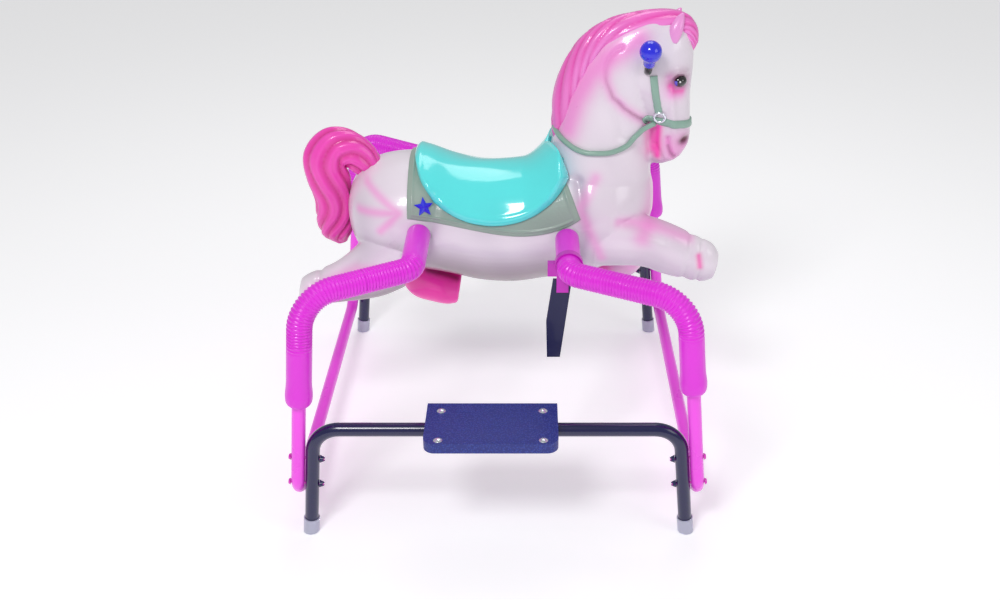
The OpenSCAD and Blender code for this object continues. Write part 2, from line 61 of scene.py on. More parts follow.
def plastic(name, colour, rough=0.35, coat=0.0, metal=0.0, grain=400, bump=0.02, vary=0.06,
            attribute=None, transmit=0.0, dark=None):
    m = bpy.data.materials.new(name)
    m.use_nodes = True
    nt = m.node_tree
    n, link = nt.nodes, nt.links.new
    b = n["Principled BSDF"]
    b.inputs["Roughness"].default_value = rough
    b.inputs["Metallic"].default_value = metal
    b.inputs["Coat Weight"].default_value = coat
    b.inputs["Coat Roughness"].default_value = 0.08
    b.inputs["Transmission Weight"].default_value = transmit
    co = n.new("ShaderNodeTexCoord")
    broad = n.new("ShaderNodeTexNoise")
    broad.inputs["Scale"].default_value = 9
    broad.inputs["Detail"].default_value = 5
    link(co.outputs["Object"], broad.inputs["Vector"])
    fine = n.new("ShaderNodeTexNoise")
    fine.inputs["Scale"].default_value = grain
    fine.inputs["Detail"].default_value = 3
    link(co.outputs["Object"], fine.inputs["Vector"])
    mix = n.new("ShaderNodeMix")
    mix.data_type = "RGBA"
    mix.blend_type = "MULTIPLY"
    mix.inputs["Factor"].default_value = vary * 4
    if attribute:
        at = n.new("ShaderNodeAttribute")
        at.attribute_name = attribute
        link(at.outputs["Color"], mix.inputs["A"])
    else:
        mix.inputs["A"].default_value = lin(colour)
    ramp = n.new("ShaderNodeMapRange")
    ramp.inputs["From Min"].default_value = 0.3
    ramp.inputs["From Max"].default_value = 0.7
    ramp.inputs["To Min"].default_value = 0.72
    link(broad.outputs["Fac"], ramp.inputs["Value"])
    link(ramp.outputs["Result"], mix.inputs["B"])
    link(mix.outputs["Result"], b.inputs["Base Color"])
    rr = n.new("ShaderNodeMapRange")
    rr.inputs["To Min"].default_value = max(rough - 0.08, 0.03)
    rr.inputs["To Max"].default_value = rough + 0.1
    link(broad.outputs["Fac"], rr.inputs["Value"])
    link(rr.outputs["Result"], b.inputs["Roughness"])
    bp = n.new("ShaderNodeBump")
    bp.inputs["Strength"].default_value = min(1.0, bump * 10)
    bp.inputs["Distance"].default_value = 0.0004
    link(fine.outputs["Fac"], bp.inputs["Height"])
    link(bp.outputs["Normal"], b.inputs["Normal"])
    return m


def paint(node, material):
    me = nodes[node].data
    for i in range(max(1, len(me.materials))):
        if i < len(me.materials):
            me.materials[i] = material
        else:
            me.materials.append(material)


cap_mat = plastic("clear_vinyl", (0.86, 0.86, 0.95), 0.3, 0.2, transmit=0.35)
paint("foot_caps", cap_mat)

# ---- Side rails ------------------------------------------------------------------------------
# One bent steel tube each side, powder coated deep navy. The legs are the ends of the same tube,
# turned down through a wide bend.

navy = plastic("navy_powder_coat", (0.0, 0.0, 0.27), 0.22, 0.6, bump=0.03, grain=700)
paint("rail_right", navy)
paint("rail_left", navy)

# ---- End frames ------------------------------------------------------------------------------
# A pink steel tube at each end, bent to a wide U. Its run near the floor joins the two sides and
# its arms are the posts that carry the springs.

pink = plastic("pink_powder_coat", (1.0, 0.30, 0.95), 0.28, 0.4, bump=0.03, grain=700)
paint("frame_rear", pink)
paint("frame_front", pink)

# ---- Frame fixings ---------------------------------------------------------------------------
# Two bolts at every corner clamp post to leg, painted with the frame, and are held by wing nuts
# on the inner side. Plugs close the post tops inside the sleeves.

paint("frame_bolts", plastic("pink_bolt_paint", (0.90, 0.22, 0.80), 0.3, 0.3))
paint("wing_nuts", plastic("navy_nut_paint", (0.02, 0.02, 0.32), 0.3, 0.4))
black = plastic("black_moulding", (0.05, 0.05, 0.07), 0.42, 0.1, bump=0.05)
paint("post_plugs", black)

# ---- Step plates -----------------------------------------------------------------------------
# Pressed steel treads with a turned-down rim, coated blue over a coarse anti-slip speckle, and
# gripped to the rail by two moulded blocks and four domed bolts each.


def speckle():
    m = plastic("step_grip_coat", (0.10, 0.17, 0.56), 0.45, 0.15, bump=0.08, grain=900)
    n, link = m.node_tree.nodes, m.node_tree.links.new
    b = n["Principled BSDF"]
    co = n.new("ShaderNodeTexCoord")
    v = n.new("ShaderNodeTexVoronoi")
    v.inputs["Scale"].default_value = 260
    link(co.outputs["Object"], v.inputs["Vector"])
    grey = n.new("ShaderNodeMapRange")
    grey.inputs["From Min"].default_value = 0.05
    grey.inputs["From Max"].default_value = 0.55
    grey.inputs["To Min"].default_value = 1
    grey.inputs["To Max"].default_value = 0
    link(v.outputs["Distance"], grey.inputs["Value"])
    bp = n.new("ShaderNodeBump")
    bp.inputs["Strength"].default_value = 0.8
    bp.inputs["Distance"].default_value = 0.0012
    link(grey.outputs["Result"], bp.inputs["Height"])
    link(bp.outputs["Normal"], b.inputs["Normal"])
    mix = n.new("ShaderNodeMix")
    mix.data_type = "RGBA"
    mix.inputs["A"].default_value = lin((0.10, 0.15, 0.50))
    mix.inputs["B"].default_value = lin((0.20, 0.29, 0.68))
    link(grey.outputs["Result"], mix.inputs["Factor"])
    link(mix.outputs["Result"], b.inputs["Base Color"])
    return m


paint("step_plates", speckle())
paint("step_clamps", black)
zinc = plastic("bright_zinc", (0.93, 0.95, 0.98), 0.18, 0.0, 1.0, grain=1200)
paint("step_bolts", zinc)

# ---- Cranked bars ----------------------------------------------------------------------------
# A cranked steel bar passes through bushes at each end of the horse. Its tips point at the
# posts and hold the springs.

dark_bar = plastic("dark_bar_paint", (0.13, 0.13, 0.17), 0.32, 0.2)
paint("bar_front", dark_bar)
paint("bar_rear", dark_bar)
paint("bar_plugs_front", black)
paint("bar_plugs_rear", black)
paint("bushes", plastic("pale_bush", (0.86, 0.92, 0.89), 0.35, 0.2))

# ---- Foot rests ------------------------------------------------------------------------------
# Flat navy paddles under the horse's elbows, each screwed to a magenta clamp round a front
# sleeve.

paint("rest_clamps", plastic("clamp_magenta", (0.80, 0.10, 0.76), 0.36, 0.25))
paint("foot_rests", plastic("navy_moulding", (0.0, 0.0, 0.27), 0.38, 0.2, bump=0.06))

# ---- Sleeves ---------------------------------------------------------------------------------
# Ribbed vinyl hoses over the springs, extruded in magenta and pushed over the posts. The ribs
# cover the corner and the arm; both ends are plain, and the lower end is a soft round lip.


def piece(name, bm, material, body=None):
    me = bpy.data.meshes.new(name)
    bmesh.ops.recalc_face_normals(bm, faces=bm.faces)
    bm.to_mesh(me)
    bm.free()
    me.shade_smooth()
    me.materials.append(material)
    ob = bpy.data.objects.new(name, me)
    bpy.context.scene.collection.objects.link(ob)
    if body:
        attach(ob, body)
    return ob


def rings(bm, loops, closed=False):
    """Skins a list of equal vertex loops; closed joins the last loop to the first."""
    vs = [[bm.verts.new(p) for p in loop] for loop in loops]
    n = len(loops[0])
    pairs = list(zip(vs, vs[1:])) + ([(vs[-1], vs[0])] if closed else [])
    for a, b in pairs:
        for k in range(n):
            bm.faces.new((a[k], a[(k + 1) % n], b[(k + 1) % n], b[k]))
    if not closed:
        bm.faces.new(vs[0][::-1])
        bm.faces.new(vs[-1])


def fillet(points, radii, step):
    """Even points along straight runs joined by tangent arcs."""
    out = [points[0]]
    for i in range(1, len(points) - 1):
        a, b, c = points[i - 1], points[i], points[i + 1]
        u, v = (a - b).normalized(), (c - b).normalized()
        turn = math.pi - u.angle(v)
        cut = radii[i - 1] * math.tan(turn / 2)
        centre = b + (u + v).normalized() * radii[i - 1] / math.cos(turn / 2)
        e1, e2 = ((b + u * cut) - centre).normalized(), -u
        for k in range(25):
            g = turn * k / 24
            out.append(centre + radii[i - 1] * (e1 * math.cos(g) + e2 * math.sin(g)))
    out.append(points[-1])
    lengths = np.cumsum([0] + [(q - p).length for p, q in zip(out, out[1:])])
    even = np.linspace(0, lengths[-1], max(3, int(lengths[-1] / step)))
    arr = np.array(out)
    return [Vector([np.interp(s, lengths, arr[:, j]) for j in range(3)]) for s in even], lengths[-1]


def frames(path):
    """A direction and two steady cross vectors at every point of a path."""
    res, side = [], None
    for i, p in enumerate(path):
        d = (path[min(i + 1, len(path) - 1)] - path[max(i - 1, 0)]).normalized()
        if side is None:
            side = d.cross(Vector((0.3, 0.9, 0.2))).normalized()
        side = (side - d * side.dot(d)).normalized()
        res.append((d, side, d.cross(side)))
    return res


def swept(path, radius, n=32):
    """Vertex loops round a path; radius is a function of the index."""
    loops = []
    for i, (p, (d, s, t)) in enumerate(zip(path, frames(path))):
        r = radius(i)
        loops.append([p + (s * math.cos(2 * math.pi * k / n) + t * math.sin(2 * math.pi * k / n)) * r
                      for k in range(n)])
    return loops


def centre(node):
    lo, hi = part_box(node)
    return (Vector(lo) + Vector(hi)) / 2


rail_y = centre("rail_right").y
bar = {}
lo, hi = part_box("bar_front")
bar[1] = Vector((lo[0] + 0.011, 0, (lo[2] + hi[2]) / 2))
lo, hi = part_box("bar_rear")
bar[-1] = Vector((hi[0] - 0.011, 0, (lo[2] + hi[2]) / 2))
lower = {1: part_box("sleeve_front_right")[0][2], -1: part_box("sleeve_rear_right")[0][2]}
lean = math.tan(math.radians(5.8))
mid_x = -0.015


def post_x(z):
    return 0.387 - z * lean + 0.029


sleeve_mat = plastic("magenta_vinyl", (0.93, 0.16, 0.90), 0.33, 0.25, bump=0.04, grain=500)


def sleeve(name, sx, sy, part):
    z = bar[sx].z
    y = sy * abs(rail_y)
    start = Vector((mid_x + sx * post_x(lower[sx]), y, lower[sx]))
    corner = Vector((mid_x + sx * post_x(z), y, z + 0.004))
    elbow = Vector((bar[sx].x, sy * 0.295, z))
    end = Vector((bar[sx].x, sy * 0.1375, z))
    path, length = fillet([start, corner, elbow, end], [0.072, 0.042], 0.0011)
    mid = elbow.lerp(corner, 0.45)
    cut = min(range(len(path)), key=lambda i: (path[i] - mid).length)
    whole = len(path)
    if part == "outer":
        path = path[:cut + 1]
    if part == "inner":
        path = path[cut:]
    first = 0 if part != "inner" else cut
    pitch = 0.0066

    def radius(i):
        s = (first + i) / (whole - 1) * length
        ribbed = min(max((s - 0.12) / 0.02, 0), 1) * min(max((length - 0.13 - s) / 0.03, 0), 1)
        lip = 0.0022 * math.exp(-((s - 0.022) / 0.018) ** 2)
        tip = min(1.0, math.sqrt(max(0.0, 1 - (1 - min(s / 0.012, 1)) ** 2)) * 0.3 + 0.7)
        rib = 0.5 - 0.5 * math.cos(2 * math.pi * s / pitch)
        return (0.0248 - 0.0026 * ribbed * (1 - rib ** 0.7) + lip) * tip

    outer = swept(path, radius)
    inner = swept(path, lambda i: min(0.0215, radius(i) - 0.0012))
    bm = bmesh.new()
    rings(bm, outer + inner[::-1], closed=True)
    ob = piece(name, bm, sleeve_mat)
    if part == "inner":
        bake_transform(ob)
    else:
        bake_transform(ob)
    return ob


for sy, side in ((-1, "right"), (1, "left")):
    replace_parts(sleeve("front_hose_" + side, 1, sy, "whole"), "sleeve_front_" + side)
    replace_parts(sleeve("rear_hose_outer_" + side, -1, sy, "outer"), "sleeve_rear_" + side)
    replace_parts(sleeve("rear_hose_inner_" + side, -1, sy, "inner"), "sleeve_inner_" + side)

# ---- Springs ---------------------------------------------------------------------------------
# A coil spring of oiled wire runs round each corner inside its sleeve, from the post's top to the
# bar's tip, along the sleeve's curve.

wire = plastic("oiled_spring", (0.5, 0.52, 0.55), 0.35, 0.0, 0.9)


def coil(name, sx, sy):
    z = bar[sx].z
    y = sy * abs(rail_y)
    start = Vector((mid_x + sx * post_x(0.447), y, 0.447))
    corner = Vector((mid_x + sx * post_x(z), y, z + 0.004))
    elbow = Vector((bar[sx].x, sy * 0.295, z))
    mid = elbow.lerp(corner, 0.45)
    path, length = fillet([start, corner, elbow + (corner - elbow).normalized() * 0.084], [0.072], 0.0010)
    turns = [p + (s * math.cos(81.7 * i / (len(path) - 1)) + t * math.sin(81.7 * i / (len(path) - 1))) * 0.0165
             for i, (p, (d, s, t)) in enumerate(zip(path, frames(path)))]
    cut = min(range(len(path)), key=lambda i: (path[i] - mid).length)
    halves = [(turns[:cut + 1], "stand", "front_carrier", corner - Vector((0, 0, 0.06)), mid)]
    if sx < 0:
        halves.append((turns[cut:], "front_carrier", "horse", mid, elbow + (corner - elbow).normalized() * 0.062))
    else:
        halves[0] = (turns,) + halves[0][1:]
    for k, (pts, a, b, p, q) in enumerate(halves):
        bm = bmesh.new()
        rings(bm, swept(pts, lambda i: 0.0014, 8))
        ob = piece(name + "_" + str(k), bm, wire)
        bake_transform(ob)
        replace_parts(ob, "springs_front" if sx > 0 else "springs_rear")


for sy, side in ((-1, "right"), (1, "left")):
    coil("front_spring_" + side, 1, sy)
    coil("rear_spring_" + side, -1, sy)

# ---- Horse shell -----------------------------------------------------------------------------
# One blow-moulded shell of pearl plastic: body, neck, head and legs in a single skin. The pink tints
# are airbrushed after moulding; the lilac and grey-brown darkening underneath and in the creases is painted shade.

TORSO = [(-0.326, 0, 0.548, 0, 0.020, 0.024), (-0.314, 0, 0.546, 0, 0.062, 0.062),
         (-0.292, 0, 0.544, 0, 0.093, 0.092), (-0.255, 0, 0.543, 0, 0.114, 0.114),
         (-0.205, 0, 0.542, 0, 0.124, 0.124), (-0.160, 0, 0.537, 0, 0.127, 0.128),
         (-0.100, 0, 0.521, 0, 0.126, 0.124), (-0.040, 0, 0.508, 0, 0.125, 0.125),
         (0.025, 0, 0.506, 0, 0.125, 0.128), (0.090, 0, 0.517, 0, 0.126, 0.130),
         (0.145, 0, 0.532, 0, 0.127, 0.138), (0.200, 0, 0.546, 0, 0.123, 0.140),
         (0.250, 0, 0.556, 0, 0.110, 0.130), (0.290, 0, 0.564, 0, 0.086, 0.106),
         (0.316, 0, 0.570, 0, 0.054, 0.072), (0.329, 0, 0.572, 0, 0.020, 0.030)]
NECK = [(0.218, 0, 0.560, 90, 0.100, 0.096), (0.214, 0, 0.620, 88, 0.098, 0.108),
        (0.214, 0, 0.680, 86, 0.088, 0.106), (0.222, 0, 0.740, 82, 0.076, 0.098),
        (0.236, 0, 0.800, 76, 0.065, 0.090), (0.256, 0, 0.852, 66, 0.057, 0.080),
        (0.284, 0, 0.898, 48, 0.050, 0.064), (0.318, 0, 0.926, 25, 0.042, 0.044),
        (0.346, 0, 0.936, 10, 0.028, 0.026)]
HEAD = [(0.344, 0, 0.958, -92, 0.018, 0.016), (0.338, 0, 0.940, -92, 0.036, 0.044),
        (0.326, 0, 0.905, -94, 0.050, 0.070), (0.318, 0, 0.865, -96, 0.057, 0.080),
        (0.318, 0, 0.828, -92, 0.059, 0.078), (0.330, 0, 0.790, -86, 0.055, 0.066),
        (0.345, 0, 0.752, -86, 0.047, 0.053), (0.350, 0, 0.718, -88, 0.042, 0.051),
        (0.352, 0, 0.690, -90, 0.039, 0.046), (0.346, 0, 0.666, -92, 0.034, 0.032),
        (0.336, 0, 0.650, -94, 0.018, 0.016)]
LEGS = [
    [(0.205, -0.072, 0.500, 0, 0.046, 0.058), (0.262, -0.080, 0.504, -4, 0.045, 0.058),
     (0.315, -0.086, 0.500, -10, 0.042, 0.056), (0.362, -0.090, 0.484, -14, 0.038, 0.055),
     (0.405, -0.092, 0.468, -14, 0.034, 0.050), (0.440, -0.093, 0.456, -14, 0.032, 0.045),
     (0.462, -0.093, 0.448, -10, 0.022, 0.030)],
    [(0.205, 0.070, 0.500, -30, 0.046, 0.058), (0.250, 0.080, 0.462, -50, 0.043, 0.052),
     (0.282, 0.086, 0.418, -70, 0.038, 0.044), (0.292, 0.088, 0.384, -100, 0.035, 0.038),
     (0.276, 0.088, 0.360, -150, 0.033, 0.032), (0.242, 0.086, 0.352, -176, 0.031, 0.028),
     (0.212, 0.084, 0.352, -180, 0.024, 0.022)],
    [(-0.205, -0.066, 0.470, 180, 0.052, 0.082), (-0.255, -0.074, 0.448, 184, 0.050, 0.078),
     (-0.300, -0.082, 0.424, 190, 0.044, 0.060), (-0.345, -0.088, 0.408, 186, 0.038, 0.046),
     (-0.385, -0.090, 0.398, 180, 0.034, 0.040), (-0.418, -0.091, 0.392, 172, 0.030, 0.034),
     (-0.432, -0.091, 0.392, 170, 0.020, 0.024)],
    [(-0.205, 0.064, 0.462, -60, 0.052, 0.066), (-0.190, 0.066, 0.410, -70, 0.046, 0.056),
     (-0.184, 0.046, 0.362, -30, 0.040, 0.054), (-0.152, 0.032, 0.346, -10, 0.037, 0.048),
     (-0.118, 0.020, 0.340, -8, 0.034, 0.043), (-0.094, 0.014, 0.340, -8, 0.028, 0.036)]]


def resample(secs, m):
    """Smooth sections in between, by a Catmull-Rom curve through every value."""
    a = np.array(secs, float)
    a = np.vstack([2 * a[0] - a[1], a, 2 * a[-1] - a[-2]])
    out = []
    for i in range(1, len(a) - 2):
        for k in range(m):
            t = k / m
            out.append(0.5 * (2 * a[i] + (a[i + 1] - a[i - 1]) * t
                              + (2 * a[i - 1] - 5 * a[i] + 4 * a[i + 1] - a[i + 2]) * t * t
                              + (3 * a[i] - a[i - 1] - 3 * a[i + 1] + a[i + 2]) * t ** 3))
    out.append(a[-2])
    return out


def on_section(s, angle, grow=0.0):
    u, w, g = (s[5] + grow) * math.cos(angle), (s[4] + grow) * math.sin(angle), math.radians(s[3])
    return Vector((mid_x + s[0] - u * math.sin(g), s[1] + w, s[2] + u * math.cos(g)))


def loft_loops(secs, m, n, shape=None):
    secs = resample(secs, m)
    return [[on_section(s, 2 * math.pi * k / n, shape(i / (len(secs) - 1), 2 * math.pi * k / n) if shape else 0)
             for k in range(n)] for i, s in enumerate(secs)]


def merged(name, lofts, voxel):
    """Joins several lofts into one even skin."""
    bm = bmesh.new()
    for loops in lofts:
        rings(bm, loops)
    bmesh.ops.recalc_face_normals(bm, faces=bm.faces)
    me = bpy.data.meshes.new(name + "_raw")
    bm.to_mesh(me)
    bm.free()
    ob = bpy.data.objects.new(name + "_raw", me)
    bpy.context.scene.collection.objects.link(ob)
    mod = ob.modifiers.new("even", "REMESH")
    mod.mode, mod.voxel_size = "VOXEL", voxel
    smooth = ob.modifiers.new("soft", "SMOOTH")
    smooth.factor, smooth.iterations = 0.6, 9
    dg = bpy.context.evaluated_depsgraph_get()
    out = bpy.data.meshes.new_from_object(ob.evaluated_get(dg))
    bpy.data.objects.remove(ob)
    return out


def arrays(me):
    p = np.empty(len(me.vertices) * 3)
    me.vertices.foreach_get("co", p)
    q = np.empty(len(me.vertices) * 3)
    me.vertices.foreach_get("normal", q)
    return p.reshape(-1, 3), q.reshape(-1, 3)


def near_point(p, c, r, both=True):
    """1 at c, falling softly to 0 beyond r; the same on both sides unless told otherwise."""
    y = np.abs(p[:, 1]) if both else p[:, 1]
    d = ((p[:, 0] - mid_x - c[0]) / r[0]) ** 2 + ((y - c[1]) / r[1]) ** 2 + ((p[:, 2] - c[2]) / r[2]) ** 2
    return np.exp(-d)


def near_line(p, pts, width, both=True):
    """1 on a polyline seen from the side, falling to 0 beyond width."""
    x, z = p[:, 0] - mid_x, p[:, 2]
    best = np.full(len(p), 1e9)
    for (ax, az), (bx, bz) in zip(pts, pts[1:]):
        t = np.clip(((x - ax) * (bx - ax) + (z - az) * (bz - az)) / ((bx - ax) ** 2 + (bz - az) ** 2), 0, 1)
        best = np.minimum(best, (x - ax - t * (bx - ax)) ** 2 + (z - az - t * (bz - az)) ** 2)
    return np.exp(-best / width ** 2)


def wave(p, scale, seed):
    """A cheap smooth noise from a few crossed waves, between -1 and 1."""
    rng = np.random.default_rng(seed)
    out = np.zeros(len(p))
    for _ in range(6):
        k = rng.normal(size=3) * scale
        out += np.sin(p @ k + rng.uniform(0, 6.28))
    return out / 3.5


lofts = [loft_loops(TORSO, 6, 64), loft_loops(NECK, 8, 64), loft_loops(HEAD, 8, 64)]
lofts += [loft_loops(s, 8, 48) for s in LEGS]
shell = merged("horse_shell", lofts, 0.0034)
p, nrm = arrays(shell)
side_on = np.clip(np.abs(nrm[:, 1]) * 1.6, 0, 1)
right = p[:, 1] < 0.0

CHEEK = [(0.262 + 0.046 * math.cos(g), 0.858 + 0.052 * math.sin(g)) for g in np.linspace(1.9, 3.5, 16)]
CHEEK += [(0.232, 0.812), (0.256, 0.788), (0.283, 0.768), (0.308, 0.750)]

# moulded relief: muscles, cheek, brow, nostril, mouth and creases
relief = np.zeros(len(p))
relief += 0.010 * near_point(p, (0.268, 0.06, 0.845), (0.042, 0.06, 0.050))
relief -= 0.0035 * near_line(p, CHEEK, 0.0045) * side_on
relief += 0.005 * near_line(p, [(0.345, 0.850), (0.360, 0.859), (0.378, 0.856)], 0.006)
relief -= 0.006 * near_point(p, (0.368, 0.048, 0.838), (0.019, 0.03, 0.013))
relief += 0.004 * near_line(p, [(0.350, 0.818), (0.356, 0.770), (0.362, 0.730)], 0.008) * side_on
relief -= 0.010 * near_point(p, (0.388, 0.034, 0.708), (0.010, 0.02, 0.009))
relief += 0.005 * near_point(p, (0.380, 0.034, 0.716), (0.016, 0.02, 0.010))
relief -= 0.006 * near_line(p, [(0.372, 0.668), (0.360, 0.680), (0.352, 0.700), (0.350, 0.716)], 0.004) * side_on
relief -= 0.004 * near_line(p, [(0.342, 0.668), (0.333, 0.684), (0.326, 0.700)], 0.004) * side_on
relief += 0.004 * near_point(p, (0.372, 0.0, 0.668), (0.02, 0.04, 0.012))
relief += 0.012 * near_point(p, (-0.215, 0.12, 0.555), (0.085, 0.06, 0.085))
relief -= 0.006 * near_line(p, [(-0.130, 0.60), (-0.145, 0.53), (-0.165, 0.47), (-0.190, 0.42)], 0.012) * side_on
relief += 0.010 * near_point(p, (0.235, 0.11, 0.565), (0.060, 0.06, 0.075))
relief -= 0.005 * near_line(p, [(0.165, 0.640), (0.172, 0.580), (0.178, 0.520), (0.168, 0.470)], 0.011) * side_on
relief -= 0.004 * near_line(p, [(0.300, 0.700), (0.255, 0.735), (0.240, 0.790)], 0.012) * side_on
relief -= 0.004 * near_line(p, [(0.245, 0.560), (0.300, 0.545), (0.350, 0.520)], 0.009) * side_on * right
relief += 0.005 * near_point(p, (0.173, 0.12, 0.548), (0.014, 0.05, 0.014))
relief -= 0.003 * near_line(p, [(0.405, 0.520), (0.398, 0.470), (0.392, 0.420)], 0.007) * right
relief -= 0.003 * near_line(p, [(0.428, 0.505), (0.420, 0.410)], 0.005) * right
relief -= 0.003 * near_line(p, [(-0.300, 0.470), (-0.345, 0.440), (-0.400, 0.415)], 0.008) * side_on
relief -= 0.004 * near_line(p, [(-0.385, 0.445), (-0.392, 0.350)], 0.006)
relief += 0.0012 * wave(p, 26, 3)
p = p + nrm * relief[:, None]
shell.vertices.foreach_set("co", p.ravel())
shell.update()

# airbrushed pinks and painted shade, worked out at every vertex
PEARL = np.array(lin((0.94, 0.90, 0.94))[:3])
ROSE = np.array(lin((0.98, 0.55, 0.86))[:3])
HOT = np.array(lin((1.0, 0.16, 0.70))[:3])
LILAC_SHADE_AND_MOTTLE = np.array(lin((0.66, 0.58, 0.69))[:3])
BELLY_SHADE = np.array(lin((0.52, 0.45, 0.47))[:3])
MAROON = np.array(lin((0.42, 0.02, 0.25))[:3])
tint = np.tile(PEARL, (len(p), 1))


def spray(colour, amount):
    global tint
    a = np.clip(amount, 0, 1)[:, None]
    tint = tint * (1 - a) + colour * a


x, y, z = p[:, 0] - mid_x, p[:, 1], p[:, 2]
mottle = 0.5 + 0.5 * wave(p, 34, 8)
# painted shade: lilac on every downward-facing surface, plus a little random lilac mottle
spray(LILAC_SHADE_AND_MOTTLE, 0.75 * np.clip(-nrm[:, 2] + 0.05, 0, 1) + 0.12 * mottle)
# painted shade: grey-brown under the belly, behind the forelegs
spray(BELLY_SHADE, 0.9 * np.clip((-nrm[:, 2] - 0.12) * 1.6, 0, 1) * (x < 0.17))
# painted shade: lilac along the shoulder and flank creases, and a patch behind the haunch
spray(LILAC_SHADE_AND_MOTTLE, 0.5 * near_line(p, [(0.165, 0.640), (0.172, 0.580), (0.178, 0.520), (0.168, 0.470)], 0.016))
spray(LILAC_SHADE_AND_MOTTLE, 0.5 * near_line(p, [(-0.130, 0.60), (-0.145, 0.53), (-0.165, 0.47), (-0.200, 0.42)], 0.02))
spray(LILAC_SHADE_AND_MOTTLE, 0.35 * near_point(p, (-0.285, 0.10, 0.52), (0.03, 0.09, 0.09)))
spray(ROSE, 0.55 * near_line(p, CHEEK, 0.012) * side_on)
spray(MAROON, 0.5 * near_line(p, CHEEK, 0.0035) * side_on * np.clip((0.90 - z) / 0.12, 0, 1))
spray(ROSE, 0.85 * near_line(p, [(0.140, 0.740), (0.158, 0.800), (0.185, 0.850), (0.215, 0.885), (0.280, 0.925)], 0.026))
spray(ROSE, 0.5 * near_line(p, [(0.200, 0.650), (0.170, 0.590), (0.215, 0.480)], 0.012) * side_on)
spray(ROSE, 0.55 * near_line(p, [(0.250, 0.560), (0.330, 0.548), (0.400, 0.520)], 0.012) * right)
spray(HOT, 0.75 * near_line(p, [(0.420, 0.485), (0.424, 0.460)], 0.006) * right * side_on)
spray(ROSE, 0.6 * near_line(p, [(-0.275, 0.630), (-0.205, 0.585), (-0.245, 0.545), (-0.205, 0.585), (-0.290, 0.580)], 0.009) * side_on)
spray(ROSE, 0.55 * near_line(p, [(-0.235, 0.455), (-0.300, 0.452), (-0.360, 0.424), (-0.405, 0.398)], 0.013) * right)
spray(ROSE, 0.6 * near_line(p, [(0.330, 0.610), (0.318, 0.560), (0.300, 0.530)], 0.02))
spray(HOT, 0.8 * near_line(p, [(0.322, 0.690), (0.316, 0.740)], 0.012))
spray(ROSE, 0.6 * near_point(p, (0.360, 0.05, 0.828), (0.030, 0.05, 0.026)))
spray(ROSE, 0.55 * near_line(p, [(0.345, 0.850), (0.352, 0.815), (0.372, 0.812)], 0.009) * side_on)
spray(ROSE, 0.5 * near_point(p, (0.384, 0.03, 0.700), (0.026, 0.05, 0.026)))
spray(ROSE, 0.45 * near_point(p, (0.365, 0.03, 0.690), (0.055, 0.08, 0.045)))
spray(MAROON, 1.5 * near_point(p, (0.387, 0.034, 0.709), (0.0125, 0.03, 0.0100)))
spray(ROSE, 0.7 * near_line(p, [(0.372, 0.668), (0.360, 0.680), (0.352, 0.700), (0.350, 0.716)], 0.008) * side_on)
spray(MAROON, 0.45 * near_line(p, [(0.368, 0.670), (0.358, 0.682), (0.352, 0.698)], 0.0032) * side_on)
spray(HOT, 0.9 * near_line(p, [(0.330, 0.742), (0.329, 0.715), (0.332, 0.675)], 0.008) * side_on)
spray(MAROON, 0.95 * near_point(p, (0.366, 0.048, 0.841), (0.0225, 0.03, 0.0170)))
spray(HOT, 0.6 * near_line(p, [(0.347, 0.832), (0.357, 0.820), (0.374, 0.818)], 0.0055))
hoof = (x < -0.085) & (x > -0.225) & (z < 0.42) & (y > -0.05)
spray(HOT, hoof * 1.0 * np.clip((0.410 - z) / 0.02, 0, 1))
spray(MAROON, 0.8 * near_line(p, [(-0.165, 0.385), (-0.120, 0.378), (-0.098, 0.372)], 0.006) * (y > -0.05))
far_hoof = (x > 0.19) & (x < 0.262) & (z < 0.40) & (y > 0.03)
spray(HOT, far_hoof * 0.9 * np.clip((0.262 - x) / 0.02, 0, 1))
spray(ROSE, 0.6 * near_line(p, [(0.262, 0.360), (0.300, 0.375)], 0.03) * (y > 0.03))
att = shell.attributes.new("tint", "FLOAT_COLOR", "POINT")
att.data.foreach_set("color", np.hstack([tint, np.ones((len(p), 1))]).ravel())
pearl = plastic("pearl_shell", (1, 1, 1), 0.30, 0.55, bump=0.015, grain=260, vary=0.03, attribute="tint")
shell.materials.clear()
shell.materials.append(pearl)
shell.shade_smooth()
horse = bpy.data.objects.new("horse_shell", shell)
bpy.context.scene.collection.objects.link(horse)
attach(horse, "horse")
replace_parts(horse, "torso", "neck_head", "foreleg_right", "foreleg_left", "hindleg_right", "hindleg_left")
dg = bpy.context.evaluated_depsgraph_get()
skin = BVHTree.FromObject(horse, dg)


def hug(pt, lift):
    """The nearest point of the horse's skin, raised by lift, and the skin's normal there."""
    loc, n, _, _ = skin.find_nearest(Vector(pt))
    return loc + n * lift, n

# ---- Mane ------------------------------------------------------------------------------------
# Hot pink locks moulded along the crest and sprayed in one colour, with painted shade in the grooves
# between the locks. They curl forward over the poll into a forelock.

MANE = [(0.126, 0, 0.696, 100, 0.020, 0.010), (0.132, 0, 0.730, 95, 0.029, 0.020),
        (0.138, 0, 0.785, 84, 0.032, 0.026), (0.156, 0, 0.842, 72, 0.033, 0.028),
        (0.188, 0, 0.894, 52, 0.033, 0.028), (0.234, 0, 0.926, 30, 0.033, 0.028),
        (0.290, 0, 0.942, 10, 0.031, 0.026), (0.345, 0, 0.948, -8, 0.028, 0.023),
        (0.378, 0, 0.938, -45, 0.024, 0.020), (0.391, 0, 0.912, -80, 0.017, 0.013),
        (0.391, 0, 0.890, -95, 0.008, 0.006)]
hair = plastic("hair_pink", (1.0, 0.24, 0.78), 0.30, 0.45, bump=0.03, grain=220, vary=0.1, attribute="tint")


